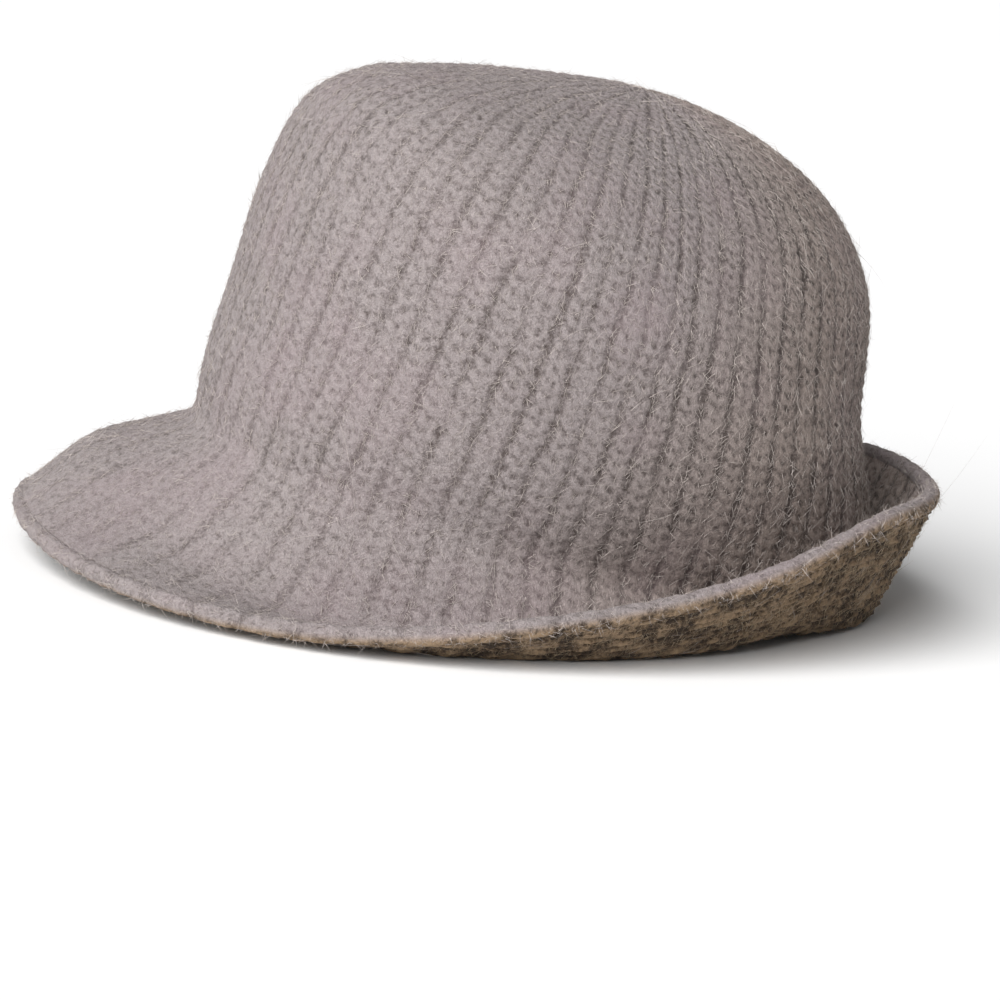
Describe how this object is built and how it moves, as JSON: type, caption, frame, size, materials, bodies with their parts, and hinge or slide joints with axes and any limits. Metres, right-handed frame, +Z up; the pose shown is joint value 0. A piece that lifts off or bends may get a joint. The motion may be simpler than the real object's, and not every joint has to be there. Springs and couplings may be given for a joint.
{
  "type": "knit bucket hat",
  "caption": "Knit hat with a rounded crown, a brim that slopes down in front, a little to the wearer's right, and is turned up behind, and a rolled knit edge.",
  "frame": {"origin": "on the surface the hat rests on, under the middle of its outer box", "axes": "+Z up, -Y towards the front of the hat, +X towards the wearer's left"},
  "size_m": [0.2548, 0.284, 0.1533],
  "materials": {
    "crown_knit": "brushed fluffy knit, matte",
    "brim_knit": "brushed fluffy knit, matte",
    "edge_knit": "brushed fluffy knit, rolled, matte"
  },
  "bodies": {
    "root": {"crown": "crown_knit", "brim": "brim_knit", "brim_edge": "edge_knit"}
  },
  "joints": []
}
